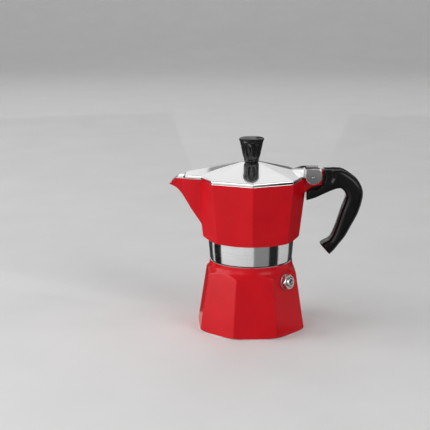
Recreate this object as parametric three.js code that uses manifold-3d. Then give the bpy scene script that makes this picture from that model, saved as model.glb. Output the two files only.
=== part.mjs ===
// A stovetop moka pot for three cups, as an assembly of its separate pieces.
// Millimetres, +Z up. The origin is the centre of the boiler's underside,
// +X points to the handle and -X to the spout.
import * as THREE from 'three';
import { mergeVertices } from 'three/addons/utils/BufferGeometryUtils.js';
import Module from 'manifold-3d';

const wasm = await Module();
wasm.setup();

// ---------------------------------------------------------------- driving dimensions
const DEG = Math.PI / 180;
const GAP = 0.3; // between touching pieces
const ROUND = 36; // sides of a large turned surface
const SMALL_ROUND = 20; // sides of a small turned surface
const OCTAGON = 8;
const BEYOND = 30; // how far a cutter reaches past what it cuts

// boiler
const BOILER_CORNER = 47; // octagon's corner radius at the foot
const BOILER_TAPER = 0.16; // corner radius lost for each millimetre of height
const BOILER_TURN = 3.2 * DEG; // where the boiler stops when it is screwed home
const BOILER_WALL = 3.4;
const BOILER_FLOOR = 3.6;
const SHOULDER_TOP = 58.6;
const NECK_RADIUS = 30.2;
const NECK_BORE = 27.6;
const BOILER_RIM = 71;

// thread between the boiler and the vessel
const THREAD_LEAD = 3;
const THREAD_TURNS = 2;
const THREAD_RIDGE = 0.7; // radius of the rounded ridge
const THREAD_START = 62;
const MALE_THREAD_RADIUS = 30.2;
const FEMALE_THREAD_RADIUS = 32.3;

// safety valve, on one flat of the boiler
const VALVE_HEADING = 45 * DEG + BOILER_TURN; // from the front, towards the handle
const VALVE_HEIGHT = 44.2;
const VALVE_HOLE = 4.9;
const VALVE_SIDES = SMALL_ROUND + 4;

// coffee funnel
const FLANGE_RADIUS = 30.2;
const SHEET = 0.8;
const BASKET_RADIUS = 25.6;
const BASKET_FLOOR = 53.5;
const TUBE_RADIUS = 4.6;
const TUBE_FOOT = 8;
const TUBE_TOP = 47.2;
const FLANGE_TOP = BOILER_RIM + GAP + SHEET;

// gasket and filter plate
const GASKET_RADIUS = 31;
const GASKET_BORE = 25.6;
const GASKET_HEIGHT = 3;
const PLATE_RADIUS = 29;
const PLATE_THICKNESS = 0.6;
const STRAINER_HOLE = 1.2;

// upper vessel
const SKIRT_FOOT = 59.1;
const SKIRT_BORE = 32.4;
const GASKET_SEAT_RADIUS = 31.4;
const VESSEL_FOOT = 76.9; // height of the octagon's lower corners
const VESSEL_FOOT_CORNER = 40.1;
const VESSEL_RIM = 127.1;
const VESSEL_RIM_CORNER = 46.04;
const VESSEL_WALL = 3.2;
const FLOOR_UNDERSIDE = 76.6;
const FLOOR_TOP = 79.6;
const COLUMN_HOLE = 5.6;

// spout
const SPOUT_ROOT_X = -41.3;
const SPOUT_TIP_X = -67.4;
const SPOUT_ROOT_HALF_WIDTH = 11.6;
const SPOUT_TIP_HALF_WIDTH = 1.3;

// lid and hinge
const LID_RIM_FOOT = VESSEL_RIM + GAP;
const LID_RIM_TOP = 129.6;
const LID_CORNER = 46.3;
const LID_APEX = 139.9;
const LID_APEX_CORNER = 6.6;
const LID_SKIN = 1.4;
const BEAK_END_X = -54.5;
const BEAK_END_HALF_WIDTH = 6.3;
const PIN_X = 50.2;
const PIN_Z = 127.6;
const PIN_RADIUS = 1.2;
const PIN_HALF_LENGTH = 9.1;
const LUG_HALF_WIDTH = 4.9;
const EAR_INNER = 5.3;
const EAR_OUTER = 8.9;
const EAR_TOP = 134.8;
const KNUCKLE_RADIUS = 4.9;
const HANDLE_LEAN = 8.2 * DEG; // the handle's front face leans this far off upright

// knob
const KNOB_FOOT = LID_APEX + GAP;
const KNOB_TOP = 160;
const KNOB_FOOT_RADIUS = 6;
const KNOB_RIM_RADIUS = 10.3;

// handle
const HANDLE_WIDTH = 17.5;
const HANDLE_EDGE = 1; // rounding of its long edges
const EAR_POCKET_RADIUS = 10;
const TONGUE_HALF_WIDTH = 3;

// screws
const SCREW_RADIUS = 1.5;
const SCREW_HEAD_RADIUS = 3.2;
const HANDLE_SCREW_X = 62.5;
const HANDLE_SCREW_HEAD_TOP = 118.2;

// ---------------------------------------------------------------- joining and cutting
function solid(geometry) {
  const bare = geometry.clone();
  bare.deleteAttribute('normal');
  bare.deleteAttribute('uv');
  const merged = mergeVertices(bare);
  return new wasm.Manifold(new wasm.Mesh({
    numProp: 3,
    vertProperties: new Float32Array(merged.attributes.position.array),
    triVerts: new Uint32Array(merged.index.array),
  }));
}

function piece(name, body, { colour, roughness, metalness }) {
  const made = body.getMesh();
  const geometry = new THREE.BufferGeometry();
  geometry.setAttribute('position', new THREE.BufferAttribute(made.vertProperties, 3));
  geometry.setIndex(new THREE.BufferAttribute(made.triVerts, 1));
  geometry.computeVertexNormals();
  const material = new THREE.MeshStandardMaterial({ color: colour, roughness, metalness });
  const mesh = new THREE.Mesh(geometry, material);
  mesh.name = name;
  return mesh;
}

// ---------------------------------------------------------------- basic forms
// A profile of [radius, height] pairs turned about Z, anticlockwise round its material.
function turned(profile, sides = ROUND, start = 0) {
  const points = profile.map(([radius, height]) => new THREE.Vector2(radius, height));
  const geometry = new THREE.LatheGeometry(points, sides, start);
  return solid(geometry.rotateX(90 * DEG));
}

function closedTurned(profile, sides = ROUND, start = 0) {
  return turned([...profile, profile[0]], sides, start);
}

function rod(radius, foot, top, sides = SMALL_ROUND) {
  return turned([[0, foot], [radius, foot], [radius, top], [0, top]], sides);
}

function ring(inner, outer, foot, top, sides = ROUND) {
  return closedTurned([[inner, foot], [outer, foot], [outer, top], [inner, top]], sides);
}

function box(low, high) {
  const size = high.map((value, i) => value - low[i]);
  const geometry = new THREE.BoxGeometry(...size);
  geometry.translate(...high.map((value, i) => (value + low[i]) / 2));
  return solid(geometry);
}

// A shape drawn in X and Z, extruded from one Y to another.
function slab(shape, lowY, highY, options = {}) {
  const edge = options.edge ?? 0;
  const geometry = new THREE.ExtrudeGeometry(shape, {
    depth: highY - lowY - 2 * edge,
    bevelEnabled: edge > 0,
    bevelThickness: edge,
    bevelSize: edge,
    bevelOffset: -edge,
    bevelSegments: 2,
    curveSegments: options.curveSegments ?? 6,
  });
  return solid(geometry.rotateX(90 * DEG).translate(0, highY - edge, 0));
}

// A solid through a row of rings of points, each ring anticlockwise as the next one sees it.
function loft(rings) {
  const count = rings[0].length;
  const last = (rings.length - 1) * count;
  const indices = [];
  for (let i = 0; i < rings.length - 1; i += 1) {
    for (let j = 0; j < count; j += 1) {
      const a = i * count + j;
      const b = i * count + ((j + 1) % count);
      indices.push(a, b, b + count, a, b + count, a + count);
    }
  }
  for (let j = 1; j < count - 1; j += 1) {
    indices.push(0, j + 1, j, last, last + j, last + j + 1);
  }
  const geometry = new THREE.BufferGeometry();
  geometry.setAttribute('position', new THREE.Float32BufferAttribute(rings.flat(2), 3));
  geometry.setIndex(indices);
  return solid(geometry);
}

class Helix extends THREE.Curve {
  constructor(radius, foot, lead, turns) {
    super();
    Object.assign(this, { radius, foot, lead, turns });
  }

  getPoint(t, target = new THREE.Vector3()) {
    const angle = 2 * Math.PI * this.turns * t;
    const height = this.foot + this.lead * this.turns * t;
    return target.set(this.radius * Math.cos(angle), this.radius * Math.sin(angle), height);
  }
}

function coil(helix, wireRadius, stepsPerTurn) {
  const section = new THREE.Shape();
  section.absarc(0, 0, wireRadius, 0, 2 * Math.PI);
  const geometry = new THREE.ExtrudeGeometry(section, {
    extrudePath: helix,
    steps: Math.round(helix.turns * stepsPerTurn),
    curveSegments: 3,
  });
  return solid(geometry);
}

function thread(radius) {
  return coil(new Helix(radius, THREAD_START, THREAD_LEAD, THREAD_TURNS), THREAD_RIDGE, 24);
}

// Moves between known points, straight from each to the next.
function interpolate(knots, x) {
  const next = Math.max(1, knots.findIndex(([knotX]) => knotX <= x));
  const [x0, z0] = knots[next - 1];
  const [x1, z1] = knots[next];
  return z0 + ((x - x0) / (x1 - x0)) * (z1 - z0);
}

// Holes on rings round the axis, for a strainer.
function perforations(rings, radius, foot, top) {
  const sides = 6;
  return rings.flatMap(([ringRadius, count]) => Array.from({ length: count }, (_, i) => {
    const angle = (2 * Math.PI * i) / count;
    const at = [ringRadius * Math.cos(angle), ringRadius * Math.sin(angle), 0];
    return rod(radius, foot, top, sides).translate(at);
  }));
}

// ---------------------------------------------------------------- finishes
const RED_ENAMEL = { colour: 0xc01822, roughness: 0.3, metalness: 0.1 };
const POLISHED_ALUMINIUM = { colour: 0xd9dbdd, roughness: 0.25, metalness: 1 };
const CAST_ALUMINIUM = { colour: 0xb9bbbd, roughness: 0.45, metalness: 1 };
const BLACK_PLASTIC = { colour: 0x0c0c0d, roughness: 0.35, metalness: 0 };
const NICKEL = { colour: 0xc9cccf, roughness: 0.2, metalness: 1 };
const STEEL = { colour: 0xa9acb0, roughness: 0.3, metalness: 1 };
const WHITE_RUBBER = { colour: 0xe6e3da, roughness: 0.7, metalness: 0 };
const BLACK_RUBBER = { colour: 0x1c1c1e, roughness: 0.8, metalness: 0 };

// ---------------------------------------------------------------- boiler
const boilerCorner = (height) => BOILER_CORNER - BOILER_TAPER * height;
const BOILER_FLATS = 22.5 * DEG + BOILER_TURN;

// Everything inside this turned form: a chamfered foot, a coned shoulder and its sweep to the neck.
const BOILER_ENVELOPE = [
  [0, 0], [43.3, 0], [47.3, 2.35], [48.5, 2.35], [48.5, 40.7], [39.2, 48.8], [36, 51.6],
  [35.1, 52.9], [34.6, 54.8], [34.4, 57], [34.4, SHOULDER_TOP], [0, SHOULDER_TOP],
];

function boiler() {
  const body = turned([
    [0, 0], [boilerCorner(0), 0], [boilerCorner(SHOULDER_TOP), SHOULDER_TOP], [0, SHOULDER_TOP],
  ], OCTAGON, BOILER_FLATS).intersect(turned(BOILER_ENVELOPE, ROUND + OCTAGON));
  const neck = rod(NECK_RADIUS, SHOULDER_TOP - 5, BOILER_RIM, ROUND);
  const shoulderInside = 45.5;
  const chamber = turned([
    [0, BOILER_FLOOR],
    [boilerCorner(BOILER_FLOOR) - BOILER_WALL, BOILER_FLOOR],
    [boilerCorner(shoulderInside) - BOILER_WALL, shoulderInside],
    [NECK_BORE, SHOULDER_TOP - 4],
    [0, SHOULDER_TOP - 4],
  ], OCTAGON, BOILER_FLATS);
  const bore = rod(NECK_BORE, shoulderInside, BOILER_RIM + 1, ROUND);
  const valveHole = rod(VALVE_HOLE, -10, 10).transform(valvePlace().elements);
  return body.add(neck).add(thread(MALE_THREAD_RADIUS))
    .subtract(chamber)
    .subtract(bore)
    .subtract(valveHole);
}

// ---------------------------------------------------------------- safety valve
// The valve's own frame: origin on the boiler's flat, +Z straight out of it.
function valvePlace() {
  const apothem = boilerCorner(VALVE_HEIGHT) * Math.cos(22.5 * DEG);
  const slope = BOILER_TAPER * Math.cos(22.5 * DEG);
  const level = new THREE.Vector3(Math.sin(VALVE_HEADING), -Math.cos(VALVE_HEADING), 0);
  const outward = level.clone().setZ(slope).normalize();
  const seat = level.clone().multiplyScalar(apothem).setZ(VALVE_HEIGHT);
  const across = new THREE.Vector3(Math.cos(VALVE_HEADING), Math.sin(VALVE_HEADING), 0);
  const up = new THREE.Vector3().crossVectors(outward, across);
  return new THREE.Matrix4().makeBasis(across, up, outward).setPosition(seat);
}

const VALVE = {
  shankFoot: -5.5, seat: -3.9, hexFoot: 1.2, hexTop: 4.4, faceTop: 4.9, bossTop: 6.3, grooveFoot: 3.8,
  hexCorner: 6.6, faceRadius: 5.6, faceBore: 4.8, grooveOuter: 4.7, grooveInner: 3.8, bossRadius: 3.5,
  shankRadius: 4.6, boreRadius: 2.6, portRadius: 1.6, sealRadius: 2.2,
};

function valveBody() {
  const hex = turned([
    [0, VALVE.hexFoot], [VALVE.hexCorner, VALVE.hexFoot],
    [VALVE.hexCorner, VALVE.hexTop], [0, VALVE.hexTop],
  ], 6);
  const hub = turned([
    [0, VALVE.shankFoot], [VALVE.shankRadius, VALVE.shankFoot], [VALVE.shankRadius, VALVE.hexTop - 1],
    [VALVE.faceRadius, VALVE.hexTop - 1], [VALVE.faceRadius, VALVE.faceTop],
    [VALVE.faceBore, VALVE.faceTop],
    [VALVE.grooveOuter, VALVE.grooveFoot], [VALVE.grooveInner, VALVE.grooveFoot],
    [VALVE.bossRadius, VALVE.bossTop], [0, VALVE.bossTop],
  ], VALVE_SIDES);
  const grooveTop = VALVE.hexTop + 1;
  const groove = ring(VALVE.grooveInner, VALVE.grooveOuter, VALVE.grooveFoot, grooveTop, VALVE_SIDES);
  const bore = rod(VALVE.boreRadius, VALVE.seat, VALVE.bossTop + 1);
  const port = rod(VALVE.portRadius, VALVE.shankFoot - 1, VALVE.seat + 1);
  return hex.add(hub).subtract(groove).subtract(bore).subtract(port);
}

function valvePieces() {
  const collarFoot = -2.3;
  const collarTop = -1.7;
  const stem = turned([
    [0, collarFoot], [VALVE.sealRadius, collarFoot], [VALVE.sealRadius, collarTop],
    [0.9, collarTop], [0.9, 6.9], [0.6, 7.2], [0, 7.2],
  ], 12);
  const wireRadius = 0.25;
  const spring = coil(new Helix(1.6, collarTop + GAP + wireRadius, 1, 4), wireRadius, 10);
  return [
    piece('valve_body', valveBody(), NICKEL),
    piece('valve_washer', ring(5, 6.4, GAP, VALVE.hexFoot - GAP, VALVE_SIDES), CAST_ALUMINIUM),
    piece('valve_stem', stem, NICKEL),
    piece('valve_seal', rod(VALVE.sealRadius, VALVE.seat + GAP, collarFoot - GAP, 16), BLACK_RUBBER),
    piece('valve_spring', spring, STEEL),
    piece('valve_retainer', ring(1.25, 2.3, 4, 4.8, 16), STEEL),
  ];
}

// ---------------------------------------------------------------- coffee funnel
function funnelBasket() {
  const inner = BASKET_RADIUS - SHEET;
  const collar = TUBE_RADIUS + GAP;
  const collarFoot = 43.5;
  return closedTurned([
    [FLANGE_RADIUS, FLANGE_TOP - SHEET], [FLANGE_RADIUS, FLANGE_TOP], [inner, FLANGE_TOP],
    [inner, BASKET_FLOOR], [collar, TUBE_TOP + 0.4], [collar, collarFoot],
    [collar + SHEET, collarFoot], [collar + SHEET, TUBE_TOP - GAP],
    [BASKET_RADIUS, BASKET_FLOOR - 0.6], [BASKET_RADIUS, FLANGE_TOP - SHEET],
  ]);
}

function funnelStrainer() {
  const foot = BASKET_FLOOR + 1;
  const top = foot + PLATE_THICKNESS;
  const disc = rod(BASKET_RADIUS - SHEET - GAP, foot, top, ROUND);
  const holes = perforations([[5, 6], [12, 12], [19, 18]], STRAINER_HOLE, foot - 1, top + 1);
  return holes.reduce((left, hole) => left.subtract(hole), disc);
}

function funnelPieces() {
  const tube = ring(TUBE_RADIUS - SHEET, TUBE_RADIUS, TUBE_FOOT, TUBE_TOP, SMALL_ROUND);
  return [
    piece('funnel_basket', funnelBasket(), CAST_ALUMINIUM),
    piece('funnel_tube', tube, CAST_ALUMINIUM),
    piece('funnel_strainer', funnelStrainer(), CAST_ALUMINIUM),
  ];
}

// ---------------------------------------------------------------- gasket and filter plate
const GASKET_FOOT = FLANGE_TOP + GAP;
const PLATE_FOOT = GASKET_FOOT + GASKET_HEIGHT + GAP;

function gasket() {
  return ring(GASKET_BORE, GASKET_RADIUS, GASKET_FOOT, GASKET_FOOT + GASKET_HEIGHT);
}

function filterPlate() {
  const disc = rod(PLATE_RADIUS, PLATE_FOOT, PLATE_FOOT + PLATE_THICKNESS, ROUND);
  const rings = [[6, 6], [13, 12], [20, 18]];
  const holes = perforations(rings, STRAINER_HOLE, PLATE_FOOT - 1, PLATE_FOOT + 2);
  return holes.reduce((left, hole) => left.subtract(hole), disc);
}

// ---------------------------------------------------------------- spout
const SPOUT_KEEL = [
  [-36, 78], [SPOUT_ROOT_X, 87.4], [-44.1, 91.8], [-49, 99], [-53.5, 106.6], [-57.6, 113.4],
  [-61.3, 117.4], [-65.4, 120.2], [SPOUT_TIP_X, 121],
];
const SPOUT_RIM = [
  [-36, VESSEL_RIM], [BEAK_END_X - 0.35, VESSEL_RIM], [BEAK_END_X - 0.4, 128.4], [-57.2, 128.5],
  [-60.5, 127.7], [-63.5, 125.9], [-65.6, 123.9], [SPOUT_TIP_X, 121.8],
];
const spoutHalfWidth = (x) => SPOUT_TIP_HALF_WIDTH
  + ((SPOUT_ROOT_HALF_WIDTH - SPOUT_TIP_HALF_WIDTH) * (x - SPOUT_TIP_X)) / (SPOUT_ROOT_X - SPOUT_TIP_X);

function spoutStations() {
  const between = [...SPOUT_KEEL, ...SPOUT_RIM].map(([x]) => x);
  return [...new Set(between)].sort((a, b) => b - a);
}

function spoutOutside() {
  const narrowest = 0.5;
  const rings = spoutStations().filter((x) => x <= SPOUT_ROOT_X).map((x) => {
    const half = spoutHalfWidth(x);
    const keel = interpolate(SPOUT_KEEL, x);
    const rim = interpolate(SPOUT_RIM, x);
    const flat = Math.min(narrowest, half / 10);
    return [[x, -half, rim], [x, half, rim], [x, flat, keel], [x, -flat, keel]];
  });
  return loft(rings);
}

function spoutChannel() {
  const rootWall = 2.2;
  const tipWall = 0.6;
  const beyondTip = SPOUT_TIP_X - 2;
  const above = VESSEL_RIM + BEYOND;
  const xs = [...spoutStations(), beyondTip];
  const rings = xs.map((x) => {
    const share = Math.min(1, Math.max(0, (x - SPOUT_TIP_X) / (SPOUT_ROOT_X - SPOUT_TIP_X)));
    const wall = tipWall + (rootWall - tipWall) * share;
    const half = spoutHalfWidth(Math.max(x, SPOUT_TIP_X)) - wall;
    const keel = interpolate(SPOUT_KEEL, Math.max(x, SPOUT_TIP_X)) + wall;
    const rim = interpolate(SPOUT_RIM, Math.max(x, SPOUT_TIP_X));
    const spread = (above - keel) / (rim - keel);
    const flat = half / 8;
    return [
      [x, -half * spread, above], [x, half * spread, above],
      [x, flat, keel], [x, -flat, keel],
    ];
  });
  return loft(rings);
}

// ---------------------------------------------------------------- upper vessel
const vesselCorner = (height) => VESSEL_FOOT_CORNER
  + ((VESSEL_RIM_CORNER - VESSEL_FOOT_CORNER) * (height - VESSEL_FOOT)) / (VESSEL_RIM - VESSEL_FOOT);

// A point this far behind the hinge pin, square to the handle's front face, and this far up it.
function behindPin(behind, up) {
  const across = Math.cos(HANDLE_LEAN) * behind + Math.sin(HANDLE_LEAN) * up;
  const height = -Math.sin(HANDLE_LEAN) * behind + Math.cos(HANDLE_LEAN) * up;
  return [PIN_X + across, PIN_Z + height];
}

const LUG_BACK = 7.95;
const LUG_BACK_WALL = 0.75;
const LUG_UNDERSIDE = [[49.2, 119.4], [46.5, 117], [44, 114.5]];

function hingeLug() {
  const shape = new THREE.Shape();
  const backTop = 6.7;
  shape.moveTo(42, VESSEL_RIM);
  shape.lineTo(PIN_X - KNUCKLE_RADIUS, VESSEL_RIM);
  shape.absarc(PIN_X, PIN_Z, KNUCKLE_RADIUS, 186 * DEG, 30 * DEG, true);
  shape.lineTo(...behindPin(LUG_BACK - LUG_BACK_WALL, 3.4));
  shape.lineTo(...behindPin(LUG_BACK - LUG_BACK_WALL, backTop));
  shape.lineTo(...behindPin(LUG_BACK, backTop));
  shape.lineTo(...behindPin(LUG_BACK, -5.3));
  LUG_UNDERSIDE.forEach(([x, z]) => shape.lineTo(x, z));
  shape.lineTo(42, 114.5);
  shape.closePath();
  return slab(shape, -LUG_HALF_WIDTH, LUG_HALF_WIDTH, { curveSegments: 14 });
}

// The tongue that the handle slides over, behind the lug.
const TONGUE = { lowZ: 122.6, highZ: 129.6, endX: 67 };

function handleTongue(clearance) {
  return box(
    [56, -TONGUE_HALF_WIDTH - clearance, TONGUE.lowZ - clearance],
    [TONGUE.endX + clearance, TONGUE_HALF_WIDTH + clearance, TONGUE.highZ + clearance],
  );
}

function hingeBore(radius) {
  const bore = rod(radius, -BEYOND, BEYOND, 16);
  return bore.rotate([90, 0, 0]).translate([PIN_X, 0, PIN_Z]);
}

function handleScrewBore(radius, foot, top) {
  return rod(radius, foot, top, 16).translate([HANDLE_SCREW_X, 0, 0]);
}

function upperVessel() {
  const octagon = turned([
    [0, VESSEL_FOOT - 3], [vesselCorner(VESSEL_FOOT - 3), VESSEL_FOOT - 3],
    [VESSEL_RIM_CORNER, VESSEL_RIM], [0, VESSEL_RIM],
  ], OCTAGON);
  const underside = turned([
    [0, 70], [15, 70], [35.2, 75.6], [VESSEL_FOOT_CORNER, VESSEL_FOOT], [60, 82.2],
    [60, VESSEL_RIM + BEYOND], [0, VESSEL_RIM + BEYOND],
  ], ROUND + OCTAGON);
  const skirt = turned([
    [0, SKIRT_FOOT], [33.8, SKIRT_FOOT], [34, 59.5], [34.5, 65], [35.1, 72], [35.2, 77], [0, 77],
  ], ROUND + OCTAGON);
  const boss = turned([[0, 78], [10, 78], [8.4, 84], [0, 84]], SMALL_ROUND + 4);
  const inside = turned([
    [0, FLOOR_TOP], [vesselCorner(FLOOR_TOP) - VESSEL_WALL - 3, FLOOR_TOP],
    [vesselCorner(82.6) - VESSEL_WALL, 82.6],
    [VESSEL_RIM_CORNER - VESSEL_WALL, VESSEL_RIM],
    [VESSEL_RIM_CORNER, VESSEL_RIM + 10], [0, VESSEL_RIM + 10],
  ], OCTAGON);
  const seat = rod(GASKET_SEAT_RADIUS, SKIRT_FOOT - 1, FLOOR_UNDERSIDE, ROUND);
  const socket = rod(SKIRT_BORE, SKIRT_FOOT - 1, 70.4, ROUND);
  const cup = octagon.intersect(underside).add(skirt).add(spoutOutside())
    .subtract(inside)
    .subtract(spoutChannel())
    .subtract(seat)
    .subtract(socket)
    .add(thread(FEMALE_THREAD_RADIUS))
    .add(boss)
    .subtract(rod(COLUMN_HOLE, 70, 90));
  return cup.add(hingeLug()).add(handleTongue(0))
    .subtract(hingeBore(PIN_RADIUS + GAP))
    .subtract(handleScrewBore(SCREW_RADIUS + GAP, 110, 128.6));
}

function coffeeColumn() {
  const tube = turned([
    [0, 115.5], [2.6, 115], [3, 110], [3.7, 86], [4, FLOOR_UNDERSIDE + GAP], [5.3, FLOOR_UNDERSIDE + GAP],
    [5.3, 84 + GAP], [7.4, 84 + GAP], [7.2, 85.3], [5, 86.2], [4.2, 108], [4.8, 111], [4.6, 114.6],
    [3.2, 116.5], [0, 117],
  ], SMALL_ROUND + 4);
  const window = box([-8, -1.5, 110.6], [8, 1.5, 113.4]);
  return tube.subtract(window);
}

// ---------------------------------------------------------------- lid
// The roof over the spout: a ridge from the knob to the nose, and a skin's thickness less inside.
function beak(skin) {
  const bottom = skin > 0 ? LID_RIM_FOOT - 2 : LID_RIM_FOOT;
  const nose = BEAK_END_X + skin;
  const ridgeEnd = [-52.6 + skin, 131.8 - skin * 1.1];
  const ridge = (x) => LID_APEX - skin * 1.1 - 0.1735 * (-x - LID_APEX_CORNER + 0.6);
  const endHalf = BEAK_END_HALF_WIDTH - skin;
  const rootHalf = SPOUT_ROOT_HALF_WIDTH - skin;
  const eaves = LID_RIM_TOP - skin * 0.8;
  const section = (x, half, eaveZ, top) => [
    [x, -half, bottom], [x, -half, eaveZ], [x, 0, top], [x, half, eaveZ], [x, half, bottom],
  ];
  return loft([
    section(-12, 2.9, eaves + 6, ridge(-12)),
    section(SPOUT_ROOT_X, rootHalf, eaves, ridge(SPOUT_ROOT_X)),
    section(ridgeEnd[0], endHalf + 0.8, eaves, ridgeEnd[1]),
    section(nose, endHalf, eaves - 0.1, 129.9 - skin),
  ]);
}

function lidTab() {
  const rear = 46.7;
  const wide = 42.4;
  const section = (x, half, top) => [
    [x, half, LID_RIM_FOOT], [x, -half, LID_RIM_FOOT], [x, -half, top], [x, half, top],
  ];
  return loft([
    section(rear, EAR_OUTER, EAR_TOP), section(wide, EAR_OUTER, EAR_TOP), section(32, 0.5, 133.3),
  ]);
}

function lidEar(side) {
  const discX = 50.7;
  const discZ = 128.7;
  const discRadius = 6.8;
  const shape = new THREE.Shape();
  shape.moveTo(55.6, EAR_TOP);
  shape.lineTo(discX - discRadius, EAR_TOP);
  shape.absarc(discX, discZ, discRadius, 180 * DEG, 375 * DEG, false);
  shape.lineTo(56.6, 133.6);
  shape.closePath();
  const low = side < 0 ? -EAR_OUTER : EAR_INNER;
  return slab(shape, low, low + EAR_OUTER - EAR_INNER, { curveSegments: 22 });
}

function lidShell(skin) {
  const foot = skin > 0 ? LID_RIM_FOOT - 2 : LID_RIM_FOOT;
  const rimCorner = LID_CORNER - skin * 1.3;
  return turned([
    [0, foot], [rimCorner, foot], [rimCorner, LID_RIM_TOP - skin * 0.9],
    [LID_APEX_CORNER, LID_APEX - skin], [0, LID_APEX - skin],
  ], OCTAGON);
}

function lid() {
  const knuckleSweep = rod(KNUCKLE_RADIUS + GAP + 0.1, -EAR_INNER, EAR_INNER, ROUND).rotate([90, 0, 0])
    .translate([PIN_X, 0, PIN_Z]);
  return lidShell(0).add(beak(0))
    .subtract(lidShell(LID_SKIN))
    .subtract(beak(LID_SKIN))
    .add(lidTab())
    .add(lidEar(-1))
    .add(lidEar(1))
    .subtract(box([40, -EAR_INNER, 120], [40 + BEYOND, EAR_INNER, PIN_Z]))
    .subtract(knuckleSweep)
    .subtract(hingeBore(PIN_RADIUS + GAP))
    .subtract(rod(SCREW_RADIUS + GAP, LID_RIM_TOP, LID_APEX + BEYOND, 16));
}

function lidKnob() {
  const body = turned([
    [0, KNOB_FOOT], [KNOB_FOOT_RADIUS, KNOB_FOOT], [5.8, 141.4], [6.6, 143], [7.2, 145],
    [9.6, 156.5], [9.6, 158], [0, 158],
  ], OCTAGON);
  const waist = turned([[0, 141], [5.9, 141], [6.3, 141.8], [5.9, 142.6], [0, 142.6]], SMALL_ROUND + 4);
  const cap = turned([
    [0, 156], [9.4, 156.6], [10.2, 157.6], [KNOB_RIM_RADIUS, 158.6], [10, 159.3], [9, 159.6], [0, KNOB_TOP],
  ], ROUND - OCTAGON);
  return body.add(waist).add(cap).subtract(rod(SCREW_RADIUS + GAP, LID_APEX, 153, 16));
}

function knobScrew() {
  const headTop = LID_APEX - LID_SKIN - GAP;
  return turned([
    [0, 136.6], [2.6, 136.6], [SCREW_HEAD_RADIUS, 137.2], [SCREW_HEAD_RADIUS, headTop],
    [SCREW_RADIUS, headTop], [SCREW_RADIUS, 151.5], [0, 152.4],
  ], 16);
}

function hingePin() {
  const pin = rod(PIN_RADIUS, -PIN_HALF_LENGTH, PIN_HALF_LENGTH, 16);
  return pin.rotate([90, 0, 0]).translate([PIN_X, 0, PIN_Z]);
}

// ---------------------------------------------------------------- handle
function handleOutline() {
  const shape = new THREE.Shape();
  const front = LUG_BACK + GAP;
  const through = (points) => shape.splineThru(points.map(([x, z]) => new THREE.Vector2(x, z)));
  shape.moveTo(...behindPin(front, 7.5));
  shape.lineTo(73.4, 133.9);
  through([[78.4, 131.8], [87, 125.2], [91, 118], [91.4, 110.5], [88.1, 98.3], [82.4, 86.8], [77.6, 77.9],
    [73.9, 73], [68.8, 66.2]]);
  shape.lineTo(64.9, 62.4);
  shape.lineTo(57.4, 70.9);
  through([[61, 73.2], [65.6, 76.2], [69.7, 85.5], [74.2, 99.7], [76.8, 106.8], [77.8, 111.7],
    [76.4, 115.4], [72.8, 118.4], [66.4, 117.2], [58.8, 114], [52.7, 111.1], [45.2, 108.6]]);
  shape.lineTo(45.2, 115.2);
  shape.lineTo(46.7, 116.6);
  shape.lineTo(49.4, 119);
  shape.lineTo(...behindPin(front, -5.6));
  shape.closePath();
  return shape;
}

function handle() {
  const half = HANDLE_WIDTH / 2;
  const grip = slab(handleOutline(), -half, half, { edge: HANDLE_EDGE, curveSegments: 2 });
  const pocket = rod(EAR_POCKET_RADIUS, 0, half, ROUND).rotate([90, 0, 0]);
  const nearPocket = pocket.translate([PIN_X, -LUG_HALF_WIDTH, PIN_Z]);
  const farPocket = pocket.translate([PIN_X, LUG_HALF_WIDTH + half, PIN_Z]);
  return grip.subtract(nearPocket).subtract(farPocket)
    .subtract(handleTongue(GAP))
    .subtract(handleScrewBore(SCREW_HEAD_RADIUS + 0.4, 100, HANDLE_SCREW_HEAD_TOP + GAP))
    .subtract(handleScrewBore(SCREW_RADIUS + GAP, 100, 125));
}

function handleScrew() {
  return turned([
    [0, 116.6], [2.6, 116.6], [SCREW_HEAD_RADIUS, 117.2], [SCREW_HEAD_RADIUS, HANDLE_SCREW_HEAD_TOP],
    [SCREW_RADIUS, HANDLE_SCREW_HEAD_TOP], [SCREW_RADIUS, 127.6], [0, 128.2],
  ], 16).translate([HANDLE_SCREW_X, 0, 0]);
}

// ---------------------------------------------------------------- the pot
const pot = new THREE.Group();

const valve = new THREE.Group();
valvePlace().decompose(valve.position, valve.quaternion, valve.scale);
valve.add(...valvePieces());

pot.add(
  piece('boiler', boiler(), RED_ENAMEL),
  valve,
  ...funnelPieces(),
  piece('gasket', gasket(), WHITE_RUBBER),
  piece('filter_plate', filterPlate(), CAST_ALUMINIUM),
  piece('upper_vessel', upperVessel(), RED_ENAMEL),
  piece('coffee_column', coffeeColumn(), CAST_ALUMINIUM),
  piece('lid', lid(), POLISHED_ALUMINIUM),
  piece('lid_knob', lidKnob(), BLACK_PLASTIC),
  piece('knob_screw', knobScrew(), STEEL),
  piece('hinge_pin', hingePin(), STEEL),
  piece('handle', handle(), BLACK_PLASTIC),
  piece('handle_screw', handleScrew(), STEEL),
);

export default pot;
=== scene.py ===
"""Looks for a three-cup moka pot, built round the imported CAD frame.

Shapes are worked out in millimetres in the CAD frame and turned into metres when a mesh is made:
the origin is the centre of the boiler's underside, +X points to the handle and -X to the spout.
"""

import math

import bmesh
import bpy
import numpy as np
from mathutils import Matrix, Vector
from mathutils.geometry import delaunay_2d_cdt


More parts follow.
